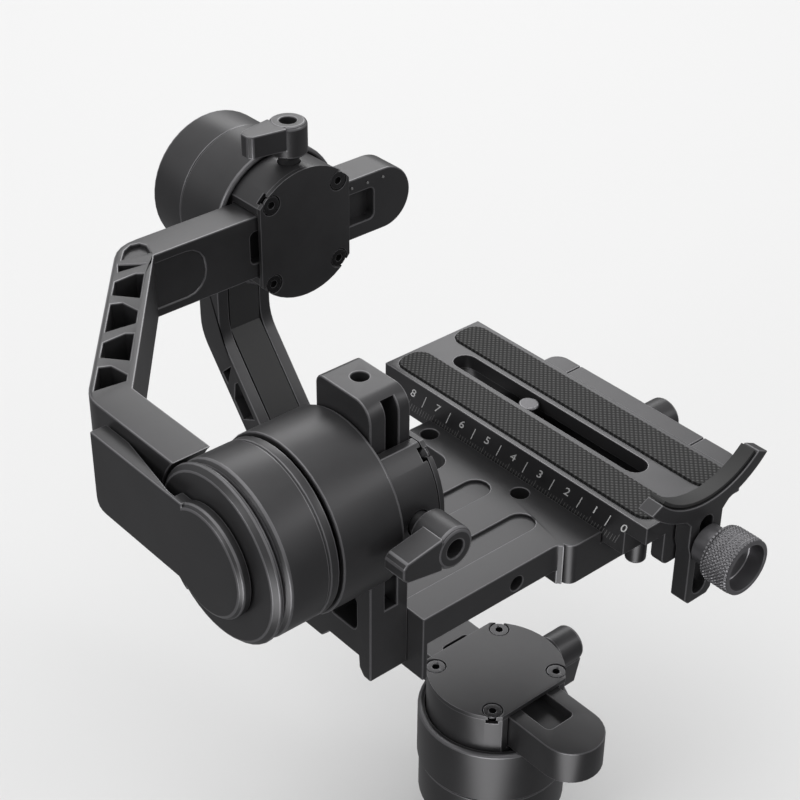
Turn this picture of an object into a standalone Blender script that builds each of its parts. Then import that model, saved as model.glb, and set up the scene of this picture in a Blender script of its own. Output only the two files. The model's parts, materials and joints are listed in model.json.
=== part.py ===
"""Three-axis camera gimbal head, without its handle and camera.

Axes: +Z up, -Y the way the camera looks, +X towards the camera plate.
Origin: centre of the flat face under the pan motor, where the handle screws on.
The pan, roll and tilt motors share one design: a fixed housing, a turning shell,
and a clamp on its end that holds a flat bar. Each is drawn once, in its own frame,
with local X along the bar, local Y towards the lock lever and local Z out of the
shell's end face towards the clamp's cover.
"""
import math

import bmesh
import bpy
from mathutils import Matrix, Vector

MM = 0.001
GAP = 0.3 * MM

# The shared arm bar: width across, thickness along the motor's axis
BAR_WIDTH = 19.1 * MM
BAR_THICK = 10.8 * MM
TILT_BAR_THICK = 11.7 * MM
BAR_SETBACK = GAP

# Motor frames
ROLL_HEIGHT = 162.3 * MM
ROLL_FACE_Y = 95.7 * MM
TILT_Y = -12.0 * MM
TILT_HEIGHT = 156.6 * MM
TILT_FACE_X = -64.7 * MM
PAN_FACE_Z = 44.5 * MM

# Motor sizes
PAN_RADIUS = 22.0 * MM
ROLL_RADIUS = 21.4 * MM
TILT_RADIUS = 22.3 * MM
HOUSING_INSET = 0.6 * MM
SHELL_LENGTH = 17.6 * MM
SEAM_GAP = 0.8 * MM
HOUSING_LENGTH = 15.0 * MM
WALL = 1.6 * MM
POCKET_RADIUS = 19.9 * MM
POCKET_DEPTH = 1.8 * MM
SHAFT_RADIUS = 4.0 * MM

# Clamp on each motor
CLAMP_RADIUS = 19.6 * MM
CLAMP_FLAT = 15.5 * MM
CLAMP_SPARE = 0.2 * MM
CLAMP_WEB = 1.5 * MM
COVER_RADIUS = 19.8 * MM
COVER_THICK = 1.4 * MM
COVER_CHAMFER = 1.0 * MM
SCREW_X = 11.7 * MM
SCREW_Y = 12.3 * MM
SCREW_HEAD_RADIUS = 2.7 * MM

# Lock lever
LEVER_REACH = 31.8 * MM
PAN_LEVER_REACH = 30.8 * MM
LEVER_HUB_LENGTH = 9.2 * MM
LEVER_HUB_RADIUS = 5.4 * MM
LEVER_STEM_RADIUS = 3.0 * MM
LEVER_ARM_LENGTH = 15.0 * MM
LEVER_ARM_HEIGHT = 6.6 * MM
LEVER_ARM_LEVEL = 0.1 * MM

# Slanted truss between the two legs of each C arm
TRUSS_THICK = 10.4 * MM
TRUSS_RUN = 0.627
TRUSS_RISE = 0.779

# Roll arm
ROLL_ARM_CORNER = Vector((-49.0, 84.9)) * MM
ROLL_ARM_LEG_INNER_X = -88.7 * MM
ROLL_BAR_END_X = 39.9 * MM
ROLL_ARM_LEG_BOTTOM = 147.4 * MM

# Pan arm
PAN_ARM_BEND = Vector((114.2, 118.0)) * MM
PAN_ARM_BACK_Y = 124.0 * MM
PAN_ARM_THICK = 9.6 * MM
PAN_ARM_COVER_HALF = 5.4 * MM
PAN_BAR_END_Y = -39.4 * MM

# Camera bracket
BRACKET_BOTTOM = 105.2 * MM
BRACKET_TOP = 185.0 * MM
BRACKET_FRONT_Y = TILT_Y - BAR_WIDTH / 2
BRACKET_CORNER_RADIUS = 5.0 * MM

# Base plate, dovetail plate and lens support
BASE_TOP = 122.0 * MM
BASE_LEFT_X = -52.7 * MM
BASE_FRONT_Y = -27.3 * MM
BASE_UNDERSIDE = 113.7 * MM
BASE_STEP_X = -4.2 * MM
BASE_STEP_FRONT_Y = -30.6 * MM
BASE_STEP_UNDERSIDE = 109.6 * MM
BASE_BACK_Y = 35.2 * MM
BASE_RIGHT_X = 46.2 * MM
CHANNEL_FLOOR = 118.3 * MM

PLATE_LEFT_X = 5.0 * MM
PLATE_RIGHT_X = 40.4 * MM
PLATE_FRONT_Y = -45.0 * MM
PLATE_BACK_Y = 54.6 * MM
PLATE_TOP = 131.0 * MM
PLATE_BOTTOM = 118.6 * MM
PLATE_FLANGE = 5.2 * MM
PLATE_KEEL_FRONT_Y = -38.0 * MM
SCREW_DROP = 4.4 * MM
PLATE_MIDDLE_X = (PLATE_LEFT_X + PLATE_RIGHT_X) / 2

RAIL_TOP = 127.0 * MM
RAIL_OUTER_X = 50.6 * MM
RAIL_SPLIT_Y = -24.2 * MM
RAIL_FRONT_Y = -36.8 * MM
RAIL_BACK_Y = 31.4 * MM
RAIL_BACK_SPLIT_Y = 22.4 * MM
RAIL_BOTTOM = 113.0 * MM
CLAMP_KNOB_Y = -2.4 * MM
CLAMP_KNOB_Z = 118.9 * MM

SUPPORT_MIDDLE_X = 21.5 * MM
SUPPORT_BACK_Y = -45.3 * MM
SUPPORT_FRONT_Y = -50.2 * MM
SUPPORT_BOTTOM = 103.4 * MM
SUPPORT_KNOB_HEIGHT = 122.0 * MM
SUPPORT_KNOB_RADIUS = 8.0 * MM
CRADLE_RADIUS = 25.0 * MM
CRADLE_THICK = 3.9 * MM
CRADLE_HEIGHT = 159.5 * MM

# Mount face under the pan motor
COLLAR_RADIUS = 18.0 * MM
COLLAR_HEIGHT = 11.2 * MM

FINISHES = {
    "black_anodised": ((0.060, 0.060, 0.064), 0.42, 0.55),
    "plate_anodised": ((0.085, 0.085, 0.088), 0.40, 0.55),
    "grip_rubber": ((0.030, 0.030, 0.030), 0.85, 0.0),
    "cover_plastic": ((0.030, 0.030, 0.032), 0.55, 0.0),
    "knob_metal": ((0.180, 0.165, 0.185), 0.45, 0.6),
    "screw_steel": ((0.070, 0.070, 0.075), 0.35, 0.9),
    "bright_steel": ((0.560, 0.560, 0.570), 0.30, 1.0),
    "magnet": ((0.300, 0.300, 0.310), 0.40, 0.9),
    "copper_winding": ((0.500, 0.200, 0.080), 0.45, 0.7),
}

for old in list(bpy.data.objects):
    bpy.data.objects.remove(old)

parts = bpy.data.collections.new("camera_gimbal")
cutters = bpy.data.collections.new("cutters")
for group in (parts, cutters):
    bpy.context.scene.collection.children.link(group)


def make_material(name):
    colour, roughness, metallic = FINISHES[name]
    material = bpy.data.materials.new(name)
    material.use_nodes = True
    shader = material.node_tree.nodes["Principled BSDF"]
    shader.inputs["Base Color"].default_value = (*colour, 1.0)
    shader.inputs["Roughness"].default_value = roughness
    shader.inputs["Metallic"].default_value = metallic
    return material


materials = {name: make_material(name) for name in FINISHES}
pivots = {}


def add_pivot(name, location, parent=None):
    """An empty on a joint's axis; the pieces of that moving body hang from it."""
    pivot = bpy.data.objects.new(name + "_pivot", None)
    parts.objects.link(pivot)
    pivot.empty_display_size = 10 * MM
    pivot.location = location
    if parent:
        pivot.parent = pivots[parent]
        pivot.matrix_parent_inverse = Matrix.Translation(-world_origin(parent))
    pivots[name] = pivot
    pivot["world_origin"] = tuple(location)


def world_origin(name):
    return Vector(pivots[name]["world_origin"])


def add_object(name, mesh, frame, body, finish):
    """Link a mesh as a part of a body, or as a hidden cutter where body is 'cutter'."""
    piece = bpy.data.objects.new(name, mesh)
    if body == "cutter":
        cutters.objects.link(piece)
        piece.hide_render = True
        piece.display_type = "WIRE"
        piece.matrix_world = frame
        return piece
    parts.objects.link(piece)
    mesh.materials.append(materials[finish])
    if body == "root":
        piece.matrix_world = frame
        return piece
    piece.parent = pivots[body]
    piece.matrix_parent_inverse = Matrix.Translation(-world_origin(body))
    piece.matrix_basis = frame
    return piece


def block(name, low, high, body="cutter", finish=None, frame=Matrix()):
    """A box between two corners."""
    low, high = Vector(low), Vector(high)
    shape = bmesh.new()
    bmesh.ops.create_cube(shape, size=1.0)
    bmesh.ops.scale(shape, vec=high - low, verts=shape.verts)
    bmesh.ops.translate(shape, vec=(low + high) / 2, verts=shape.verts)
    mesh = bpy.data.meshes.new(name)
    shape.to_mesh(mesh)
    shape.free()
    return add_object(name, mesh, frame, body, finish)


def rod(name, frame, radius, low, high, body="cutter", finish=None, sides=32):
    """A cylinder along the frame's Z."""
    shape = bmesh.new()
    bmesh.ops.create_cone(shape, cap_ends=True, segments=sides, radius1=radius, radius2=radius,
                          depth=high - low)
    bmesh.ops.translate(shape, vec=(0, 0, (low + high) / 2), verts=shape.verts)
    mesh = bpy.data.meshes.new(name)
    shape.to_mesh(mesh)
    shape.free()
    piece = add_object(name, mesh, frame, body, finish)
    smooth(mesh)
    return piece


def smooth(mesh):
    mesh.shade_smooth()
    mesh.set_sharp_from_angle(angle=math.radians(35))


def turned(name, frame, profile, body, finish, steps=48):
    """Turn a profile of (radius, height) points about the frame's Z.

    The profile runs down its outer side. It starts and ends on the axis for a
    solid piece; otherwise it closes on itself and makes a ring.
    """
    ring = profile[0][0] > 0
    mesh = bpy.data.meshes.new(name)
    shape = bmesh.new()
    points = [shape.verts.new((radius, 0, height)) for radius, height in profile]
    for first, second in zip(points, points[1:] + points[:1] if ring else points[1:]):
        shape.edges.new((first, second))
    shape.to_mesh(mesh)
    shape.free()
    piece = add_object(name, mesh, frame, body, finish)
    screw = piece.modifiers.new("turn", "SCREW")
    screw.axis = "Z"
    screw.steps = steps
    screw.render_steps = steps
    screw.use_merge_vertices = True
    screw.merge_threshold = 0.01 * MM
    screw.use_normal_calculate = False
    screw.use_smooth_shade = True
    return piece


def extruded(name, outline, low, high, body="cutter", finish=None, frame=Matrix()):
    """A flat outline in the frame's XY plane, extruded from low to high along its Z."""
    curve = bpy.data.curves.new(name, "CURVE")
    curve.dimensions = "2D"
    curve.fill_mode = "BOTH"
    curve.extrude = (high - low) / 2
    curve.render_resolution_u = 0
    spline = curve.splines.new("POLY")
    spline.points.add(len(outline) - 1)
    for point, (across, along) in zip(spline.points, outline):
        point.co = (across, along, 0, 1)
    spline.use_cyclic_u = True
    source = bpy.data.objects.new(name + "_outline", curve)
    cutters.objects.link(source)
    bpy.context.view_layer.update()
    graph = bpy.context.evaluated_depsgraph_get()
    mesh = bpy.data.meshes.new_from_object(source.evaluated_get(graph))
    bpy.data.objects.remove(source)
    mesh.name = name
    shape = bmesh.new()
    shape.from_mesh(mesh)
    bmesh.ops.remove_doubles(shape, verts=shape.verts, dist=0.001 * MM)
    bmesh.ops.dissolve_limit(shape, angle_limit=math.radians(1), verts=shape.verts,
                             edges=shape.edges)
    bmesh.ops.translate(shape, vec=(0, 0, (low + high) / 2), verts=shape.verts)
    bmesh.ops.recalc_face_normals(shape, faces=shape.faces)
    shape.to_mesh(mesh)
    shape.free()
    mesh.materials.clear()
    smooth(mesh)
    return add_object(name, mesh, frame, body, finish)


def boolean(piece, tool, operation="DIFFERENCE"):
    modifier = piece.modifiers.new(tool.name, "BOOLEAN")
    modifier.object = tool
    modifier.operation = operation


def arc(centre, radius, start, end, steps):
    """Points along an arc, angles in degrees."""
    angles = [math.radians(start + (end - start) * step / steps) for step in range(steps + 1)]
    return [(centre[0] + radius * math.cos(a), centre[1] + radius * math.sin(a)) for a in angles]


def flatted_disc(radius, flat):
    """A disc cut straight at both ends of X."""
    edge = math.degrees(math.acos(flat / radius))
    return arc((0, 0), radius, edge, 180 - edge, 14) + arc((0, 0), radius, 180 + edge, 360 - edge, 14)


def rounded_slot(low, high, steps=8):
    """A slot with round ends along its longer side, between two corners."""
    width, height = high[0] - low[0], high[1] - low[1]
    radius = min(width, height) / 2
    if width > height:
        right, left = (high[0] - radius, low[1] + radius), (low[0] + radius, low[1] + radius)
        return arc(right, radius, -90, 90, steps) + arc(left, radius, 90, 270, steps)
    top, bottom = (low[0] + radius, high[1] - radius), (low[0] + radius, low[1] + radius)
    return arc(top, radius, 0, 180, steps) + arc(bottom, radius, 180, 360, steps)


def rounded_box(low, high, radius, steps=4):
    """A rectangle with round corners, counter-clockwise."""
    x0, y0, x1, y1 = low[0] + radius, low[1] + radius, high[0] - radius, high[1] - radius
    return (arc((x1, y0), radius, -90, 0, steps) + arc((x1, y1), radius, 0, 90, steps)
            + arc((x0, y1), radius, 90, 180, steps) + arc((x0, y0), radius, 180, 270, steps))


def axes_frame(origin, across, up):
    """A frame from its origin, its X direction and its Y direction."""
    across, up = Vector(across), Vector(up)
    out = across.cross(up)
    rotation = Matrix((across, up, out)).transposed().to_4x4()
    return Matrix.Translation(Vector(origin)) @ rotation


PAN_FRAME = axes_frame((0, 0, PAN_FACE_Z), (0, -1, 0), (1, 0, 0))
ROLL_FRAME = axes_frame((0, ROLL_FACE_Y, ROLL_HEIGHT), (1, 0, 0), (0, 0, 1))
TILT_FRAME = axes_frame((TILT_FACE_X, TILT_Y, TILT_HEIGHT), (0, 0, 1), (0, -1, 0))
TOP_FRAME = Matrix()
SIDE_FRAME = axes_frame((0, 0, 0), (0, 1, 0), (0, 0, 1))
FRONT_FRAME = axes_frame((0, 0, 0), (1, 0, 0), (0, 0, 1))

BAR_MIDDLE = BAR_SETBACK + BAR_THICK / 2
TILT_BAR_MIDDLE = BAR_SETBACK + TILT_BAR_THICK / 2


def make_pivots():
    add_pivot("pan", (0, 0, PAN_FACE_Z))
    add_pivot("pan_lock_lever", (PAN_LEVER_REACH, 0, PAN_FACE_Z + BAR_MIDDLE), "pan")
    add_pivot("pan_arm", (0, 0, PAN_FACE_Z + BAR_MIDDLE), "pan")
    add_pivot("roll", (0, ROLL_FACE_Y, ROLL_HEIGHT), "pan_arm")
    roll_lever = (0, ROLL_FACE_Y - BAR_MIDDLE, ROLL_HEIGHT + LEVER_REACH)
    add_pivot("roll_lock_lever", roll_lever, "roll")
    add_pivot("roll_arm", (0, ROLL_FACE_Y - BAR_MIDDLE, ROLL_HEIGHT), "roll")
    add_pivot("tilt", (TILT_FACE_X, TILT_Y, TILT_HEIGHT), "roll_arm")
    tilt_lever = (TILT_FACE_X + TILT_BAR_MIDDLE, TILT_Y - LEVER_REACH, TILT_HEIGHT)
    add_pivot("tilt_lock_lever", tilt_lever, "tilt")
    add_pivot("bracket", (TILT_FACE_X + TILT_BAR_MIDDLE, TILT_Y, TILT_HEIGHT), "tilt")
    add_pivot("plate_clamp", (RAIL_OUTER_X, CLAMP_KNOB_Y, CLAMP_KNOB_Z), "bracket")
    add_pivot("plate_clamp_knob", (RAIL_OUTER_X, CLAMP_KNOB_Y, CLAMP_KNOB_Z), "plate_clamp")
    add_pivot("plate", (PLATE_MIDDLE_X, 0, PLATE_TOP), "bracket")
    add_pivot("lens_support", (SUPPORT_MIDDLE_X, SUPPORT_FRONT_Y, SUPPORT_KNOB_HEIGHT), "plate")
    knob = (SUPPORT_MIDDLE_X, SUPPORT_FRONT_Y, SUPPORT_KNOB_HEIGHT)
    add_pivot("lens_support_knob", knob, "plate")


def make_motor(name, frame, radius, fixed_body, turning_body):
    """The housing, shell and inner pieces of one motor."""
    rim = 0.6 * MM
    seam = -SHELL_LENGTH
    rear = seam - HOUSING_LENGTH
    inner = radius - WALL
    boss = 8.4 * MM
    boss_top = -6.5 * MM
    outer = radius - HOUSING_INSET

    turned(name + "_stator_housing", frame, [
        (outer, seam - SEAM_GAP), (outer, rear + 2 * rim), (outer - 2 * rim, rear),
        (SHAFT_RADIUS + 1.2 * MM, rear), (SHAFT_RADIUS + 1.2 * MM, -11.5 * MM),
        (6.9 * MM, -11.5 * MM), (6.9 * MM, boss_top), (boss, boss_top),
        (boss, rear + 2.4 * MM), (inner, rear + 2.4 * MM), (inner, seam - SEAM_GAP),
    ], fixed_body, "black_anodised")
    turned(name + "_stator_core", frame, [
        (radius - 5.2 * MM, -7.2 * MM), (radius - 5.2 * MM, -16.0 * MM),
        (boss + GAP, -16.0 * MM), (boss + GAP, -7.2 * MM),
    ], fixed_body, "copper_winding", steps=24)
    turned(name + "_bearing", frame, [
        (6.6 * MM, -6.8 * MM), (6.6 * MM, -11.2 * MM), (SHAFT_RADIUS + GAP, -11.2 * MM),
        (SHAFT_RADIUS + GAP, -6.8 * MM),
    ], fixed_body, "bright_steel", steps=24)
    turned(name + "_rotor_shell", frame, [
        (POCKET_RADIUS, 0), (radius - rim, 0), (radius, -rim), (radius, seam),
        (inner, seam), (inner, -POCKET_DEPTH - 2.0 * MM), (2.0 * MM, -POCKET_DEPTH - 2.0 * MM),
        (2.0 * MM, -POCKET_DEPTH), (POCKET_RADIUS, -POCKET_DEPTH),
    ], turning_body, "black_anodised")
    turned(name + "_magnet_ring", frame, [
        (inner - GAP, -6.0 * MM), (inner - GAP, -16.4 * MM),
        (inner - 2.6 * MM, -16.4 * MM), (inner - 2.6 * MM, -6.0 * MM),
    ], turning_body, "magnet", steps=24)
    turned(name + "_shaft", frame, [
        (0, -POCKET_DEPTH - 2.3 * MM), (SHAFT_RADIUS, -POCKET_DEPTH - 2.3 * MM),
        (SHAFT_RADIUS, rear + 1.0 * MM), (0, rear + 1.0 * MM),
    ], turning_body, "bright_steel", steps=24)


def make_clamp(name, frame, body, bar_thick=BAR_THICK):
    """The clamp that grips an arm's bar, with its cover plate and four screws."""
    channel = BAR_WIDTH / 2 + GAP
    depth = BAR_SETBACK + bar_thick + CLAMP_SPARE
    cover_low = depth + 0.1 * MM
    cover_high = cover_low + COVER_THICK

    clamp = extruded(name + "_clamp_body", flatted_disc(CLAMP_RADIUS, CLAMP_FLAT), -CLAMP_WEB,
                     depth, body, "black_anodised", frame)
    reach = 30 * MM
    boolean(clamp, block(name + "_bar_channel", (-reach, -channel, 0), (reach, channel, reach),
                         frame=frame))
    middle = BAR_SETBACK + bar_thick / 2
    stem_hole = frame @ Matrix.Translation((0, 0, middle)) @ Matrix.Rotation(-math.pi / 2, 4, "X")
    boolean(clamp, rod(name + "_stem_hole", stem_hole, LEVER_STEM_RADIUS + GAP, 5 * MM, reach,
                       sides=24))

    cover = extruded(name + "_cover_plate", flatted_disc(COVER_RADIUS, CLAMP_FLAT + 0.1 * MM),
                     cover_low, cover_high, body, "black_anodised", frame)
    head_low = cover_high - 2.4 * MM
    corners = [(-SCREW_X, SCREW_Y), (SCREW_X, SCREW_Y), (SCREW_X, -SCREW_Y), (-SCREW_X, -SCREW_Y)]
    for number, (across, up) in enumerate(corners, 1):
        place = frame @ Matrix.Translation((across, up, 0))
        shank = 1.25 * MM
        hole = rod(f"{name}_screw_hole_{number}", place, SCREW_HEAD_RADIUS + GAP, head_low - GAP,
                   reach, sides=24)
        shank_hole = rod(f"{name}_shank_hole_{number}", place, shank + GAP, 2.7 * MM, reach, sides=16)
        for piece in (clamp, cover):
            boolean(piece, hole)
        boolean(clamp, shank_hole)
        turned(f"{name}_cover_screw_{number}", place, [
            (0, cover_high - 1.5 * MM), (1.1 * MM, cover_high - 1.5 * MM),
            (1.1 * MM, cover_high - 0.2 * MM), (SCREW_HEAD_RADIUS, cover_high - 0.2 * MM),
            (SCREW_HEAD_RADIUS, cover_high - 0.8 * MM), (shank, head_low), (shank, 3.0 * MM),
            (0, 3.0 * MM),
        ], body, "screw_steel", steps=12)


def make_lever(name, frame, body, angle, reach=LEVER_REACH, middle=BAR_MIDDLE):
    """A T-shaped lock lever; its stem points at the motor's axis.

    The lever's frame has its Z out along the stem, and the arm lies at an angle
    in degrees from the clamp's cover direction.
    """
    stand = frame @ Matrix.Translation((0, 0, middle)) @ Matrix.Rotation(-math.pi / 2, 4, "X")
    stand = stand @ Matrix.Rotation(math.radians(angle), 4, "Z")
    hub_low = reach - LEVER_HUB_LENGTH
    lever = turned(name, stand, [
        (0, reach - 4 * MM), (2.4 * MM, reach - 4 * MM), (2.4 * MM, reach),
        (LEVER_HUB_RADIUS - 0.7 * MM, reach), (LEVER_HUB_RADIUS, reach - 0.7 * MM),
        (LEVER_HUB_RADIUS, hub_low), (LEVER_STEM_RADIUS, hub_low - 1.4 * MM),
        (LEVER_STEM_RADIUS, BAR_WIDTH / 2 + 2 * GAP), (0, BAR_WIDTH / 2 + 2 * GAP),
    ], body, "black_anodised", steps=32)
    tip, root = 2.6 * MM, LEVER_HUB_RADIUS - 1.0 * MM
    arm = extruded(name + "_arm", [
        (3.6 * MM, -root), (LEVER_ARM_LENGTH - 1.2 * MM, -tip), (LEVER_ARM_LENGTH, -tip + 1.2 * MM),
        (LEVER_ARM_LENGTH, tip - 1.2 * MM), (LEVER_ARM_LENGTH - 1.2 * MM, tip), (3.6 * MM, root),
    ], reach - LEVER_ARM_LEVEL - LEVER_ARM_HEIGHT, reach - LEVER_ARM_LEVEL, frame=stand)
    boolean(lever, arm, "UNION")
    return lever


def rounded_corner(corner, before, after, reach, steps=4):
    """Points that round off a corner, starting and ending at a reach from it along two directions."""
    first, last = corner + before * reach, corner + after * reach
    shares = [step / steps for step in range(steps + 1)]
    return [first * (1 - t) ** 2 + corner * 2 * t * (1 - t) + last * t ** 2 for t in shares]


def truss_outline(corner, run, leg_inner, leg_end, bar_back, bar_end, sign):
    """The C arm's inner and outer edges, in the plane of the C.

    corner is where the bar's inner edge meets the slant; the slant then falls by
    TRUSS_RISE for every TRUSS_RUN along the bar's direction.
    """
    slant = Vector((run * TRUSS_RUN, -TRUSS_RISE))
    out = Vector((run * TRUSS_RISE, TRUSS_RUN))
    length = (leg_inner - corner.x) / slant.x
    inner_low = corner + slant * length
    outer_start = corner + out * TRUSS_THICK
    bar_corner = outer_start - slant * ((bar_back - outer_start.y) / TRUSS_RISE)
    leg_outer = leg_inner + run * TRUSS_THICK
    leg_corner = outer_start + slant * ((leg_outer - outer_start.x) / slant.x)
    along_bar, down_leg = Vector((-run, 0)), Vector((0, -1))
    points = [Vector((bar_end, corner.y)), corner, inner_low, Vector((leg_inner, leg_end)),
              Vector((leg_outer, leg_end))]
    points += rounded_corner(leg_corner, down_leg, -slant, 4 * MM)
    points += rounded_corner(bar_corner, slant, along_bar, 6 * MM)
    points += [Vector((bar_end, bar_back))]
    return [(sign * point.x, point.y) for point in points]


def truss_pockets():
    """Zig-zag pocket outlines along the slant: distance along it, distance across it."""
    near, far = 2.0 * MM, 8.9 * MM
    bay, rib = 14.7 * MM, 4.2 * MM
    pockets = [[(4.4 * MM, near), (8.4 * MM, far - 0.4 * MM), (4.8 * MM, far)]]
    start = 9.6 * MM
    for number in range(4):
        end = start + (bay - rib if number < 3 else 7.2 * MM)
        if number % 2 == 0:
            shape = [(start, near), (end + 1.6 * MM, near), (end + 0.2 * MM, far),
                     (start + 4.2 * MM, far), (start, near + 2.0 * MM)]
        else:
            shape = [(start + 3.8 * MM, near), (end - 0.8 * MM, near), (end + 3.2 * MM, far),
                     (start + 0.6 * MM, far), (start, far - 2.8 * MM)]
        pockets.append(shape)
        start += bay
    return pockets


def cut_pockets(piece, name, frame, corner, run, depth):
    """Cut the zig-zag pockets into the face at the frame's Z = 0."""
    slant = Vector((run * TRUSS_RUN, -TRUSS_RISE))
    out = Vector((run * TRUSS_RISE, TRUSS_RUN))
    for number, pocket in enumerate(truss_pockets(), 1):
        outline = [corner + slant * along + out * across for along, across in pocket]
        cutter = extruded(f"{name}_pocket_{number}", [(p.x, p.y) for p in outline], -depth,
                          5 * MM, frame=frame)
        boolean(piece, cutter)


def make_pan_base():
    turned("mount_collar", TOP_FRAME, [
        (0, 3 * MM), (9 * MM, 3 * MM), (9 * MM, COLLAR_HEIGHT),
        (COLLAR_RADIUS - 0.8 * MM, COLLAR_HEIGHT), (COLLAR_RADIUS, COLLAR_HEIGHT - 0.8 * MM),
        (COLLAR_RADIUS, 0), (0, 0),
    ], "root", "black_anodised")


def make_pan_arm():
    """The C arm from the pan clamp's bar up to the back of the roll motor, and its cable cover."""
    bar_low = PAN_FACE_Z + BAR_SETBACK
    bar_high = bar_low + BAR_THICK
    half = BAR_WIDTH / 2
    up, back = Vector((0, 1)), Vector((1, 0))
    slant = Vector((-TRUSS_RUN, -TRUSS_RISE))
    out = Vector((TRUSS_RISE, -TRUSS_RUN))
    inner_foot = PAN_ARM_BEND + slant * ((PAN_ARM_BEND.y - bar_high) / TRUSS_RISE)
    outer = PAN_ARM_BEND + out * PAN_ARM_THICK
    outer_top = outer - slant * ((PAN_ARM_BACK_Y - outer.x) / TRUSS_RUN)
    outer_foot = outer + slant * ((outer.y - bar_low) / TRUSS_RISE)
    leg_top = ROLL_HEIGHT - ROLL_RADIUS + 8 * MM
    outline = [Vector((PAN_BAR_END_Y, bar_low))]
    outline += rounded_corner(outer_foot, -back, -slant, 4 * MM)
    outline += rounded_corner(outer_top, slant, up, 5 * MM)
    outline += [Vector((PAN_ARM_BACK_Y, leg_top)), Vector((PAN_ARM_BEND.x, leg_top))]
    outline += rounded_corner(PAN_ARM_BEND, up, slant, 5 * MM)
    outline += rounded_corner(inner_foot, -slant, -back, 3 * MM)
    outline += [Vector((PAN_BAR_END_Y, bar_high))]
    arm = extruded("pan_arm", [(point.x, point.y) for point in outline], -half, half, "pan_arm",
                   "black_anodised", SIDE_FRAME)
    roll_axis = ROLL_FRAME @ Matrix.Translation((0, 0, -60 * MM))
    boolean(arm, rod("pan_arm_saddle", roll_axis, ROLL_RADIUS + GAP, 0, 80 * MM, sides=48))
    tip = [(-14 * MM, PAN_BAR_END_Y - MM), (14 * MM, PAN_BAR_END_Y - MM),
           (14 * MM, PAN_BAR_END_Y + half)]
    tip += arc((0, PAN_BAR_END_Y + half), half, 0, -180, 16) + [(-14 * MM, PAN_BAR_END_Y + half)]
    boolean(arm, extruded("pan_bar_end", tip, bar_low - MM, bar_high + MM))
    slot = extruded("pan_bar_slot", rounded_box((-4.9 * MM, -26.3 * MM), (4.9 * MM, 17.8 * MM),
                                                1.6 * MM), bar_high - 3.2 * MM, bar_high + MM)
    boolean(arm, slot)

    mouth = inner_foot - slant * 6 * MM
    cover_top = ROLL_HEIGHT - ROLL_RADIUS - MM
    for name, depth, side, target in (("pan_arm_cover_groove", 1.4 * MM, GAP, "cutter"),
                                      ("pan_arm_cable_cover", 1.1 * MM, 0, "pan_arm")):
        proud = 5 * MM if target == "cutter" else 0.1 * MM
        ends = (mouth + slant * side, PAN_ARM_BEND, Vector((PAN_ARM_BEND.x, cover_top + side)))
        front = [ends[0] - out * proud, PAN_ARM_BEND + Vector((-proud, proud * 0.45)),
                 ends[2] - back * proud]
        rear = [ends[2] + back * depth, PAN_ARM_BEND + Vector((depth, -depth * 0.45)),
                ends[0] + out * depth]
        strip = extruded(name, [(point.x, point.y) for point in front + rear],
                         -PAN_ARM_COVER_HALF - side, PAN_ARM_COVER_HALF + side, target,
                         None if target == "cutter" else "cover_plastic", SIDE_FRAME)
        if target == "cutter":
            boolean(arm, strip)

    for side, label in ((-1, "left"), (1, "right")):
        face = axes_frame((side * half, 0, 0), (0, side, 0), (0, 0, 1))
        for number, pocket in enumerate(truss_pockets(), 1):
            points = [PAN_ARM_BEND + slant * (along + 6 * MM) + out * (across * 0.86 + 0.5 * MM)
                      for along, across in pocket]
            cutter = extruded(f"pan_arm_{label}_pocket_{number}", [(side * p.x, p.y) for p in points],
                              -3.4 * MM, 5 * MM, frame=face)
            boolean(arm, cutter)


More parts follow.
